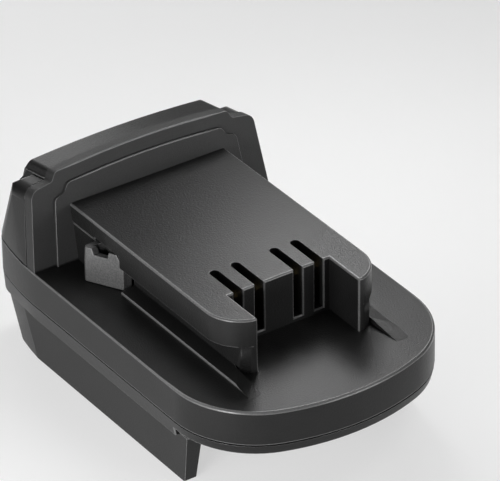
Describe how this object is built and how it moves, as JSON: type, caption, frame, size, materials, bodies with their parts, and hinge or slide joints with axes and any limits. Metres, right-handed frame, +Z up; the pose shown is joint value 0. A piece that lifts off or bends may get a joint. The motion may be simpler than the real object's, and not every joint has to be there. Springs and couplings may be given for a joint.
{
  "type": "tool battery adapter",
  "caption": "Slide-on adapter for cordless tools: rail tower with terminal slots on top, stepped head with side release buttons and latches, battery receiver between skirts below.",
  "frame": {"origin": "centre of the footprint, at the foot of the skirts", "axes": "+X from the head towards the terminal slots and the open end of the receiver, +Y to the right seen from the head's back, +Z up"},
  "size_m": [0.132, 0.084, 0.0621],
  "materials": {
    "case_plastic": "satin",
    "button_plastic": "satin",
    "cast_metal": "grainy cast",
    "spring_steel": "drawn wire",
    "screw_steel": "zinc plated",
    "contact_metal": "bright",
    "board": "solder mask",
    "component_black": "moulded",
    "component_sleeve": "sleeve",
    "block_plastic": "satin",
    "lead_red": "insulation",
    "lead_black": "insulation",
    "lead_white": "insulation",
    "lead_yellow": "insulation"
  },
  "bodies": {
    "housing": {"upper_case": "case_plastic", "lower_case": "case_plastic", "latch_spring_left": "spring_steel", "latch_spring_right": "spring_steel", "clip_positive": "contact_metal", "clip_negative": "contact_metal", "clip_signal_a": "contact_metal", "clip_signal_b": "contact_metal", "circuit_board": "board", "cutoff_transistor": "component_black", "capacitor": "component_sleeve", "board_screws": "screw_steel", "blade_block": "block_plastic", "blade_positive": "contact_metal", "blade_negative": "contact_metal", "blade_signal_a": "contact_metal", "blade_signal_b": "contact_metal", "lead_positive": "lead_red", "lead_negative": "lead_black", "lead_signal_a": "lead_white", "lead_signal_b": "lead_yellow", "case_screws": "screw_steel"},
    "left_latch": {"release_button_left": "button_plastic", "latch_hook_left": "cast_metal"},
    "right_latch": {"release_button_right": "button_plastic", "latch_hook_right": "cast_metal"}
  },
  "joints": [
    {"name": "left_release", "type": "slide", "parent": "housing", "child": "left_latch", "axis": [0, 1, 0], "range_m": [0, 0.005], "stiffness_N_per_m": 800, "deforming": ["latch_spring_left"]},
    {"name": "right_release", "type": "slide", "parent": "housing", "child": "right_latch", "axis": [0, -1, 0], "range_m": [0, 0.005], "stiffness_N_per_m": 800, "deforming": ["latch_spring_right"]}
  ]
}
